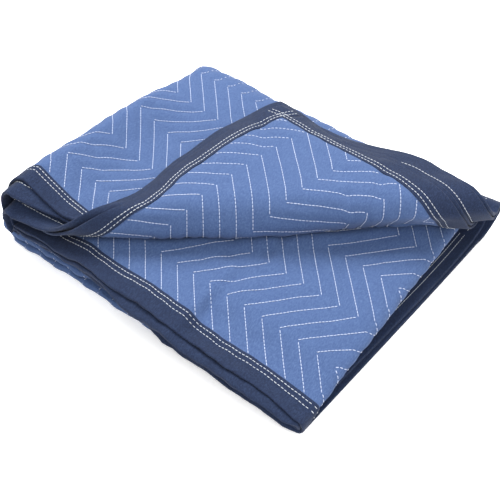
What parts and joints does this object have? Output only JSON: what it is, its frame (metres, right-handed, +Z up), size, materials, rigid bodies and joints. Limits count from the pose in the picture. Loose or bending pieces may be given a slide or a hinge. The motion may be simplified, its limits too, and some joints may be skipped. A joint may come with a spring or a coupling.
{
  "type": "sound dampening blanket",
  "caption": "Quilted sound dampening blanket with bound edges, folded into a thick stack with its upper front corner turned back; deadens echo or pads goods.",
  "frame": {"origin": "under the middle of the folded stack's box, on the surface it lies on", "axes": "+X along the long side of the stack towards its bound ends, +Y from the bound side to the folded back, +Z up"},
  "size_m": [0.5592, 0.4534, 0.135],
  "materials": {
    "panel_cloth": "matte woven cotton blend, zigzag quilted",
    "binding_tape": "matte woven tape"
  },
  "bodies": {
    "root": {"quilted_panel": "panel_cloth", "edge_binding_a": "binding_tape", "edge_binding_b": "binding_tape", "end_binding_a": "binding_tape", "end_binding_b": "binding_tape"}
  },
  "joints": []
}
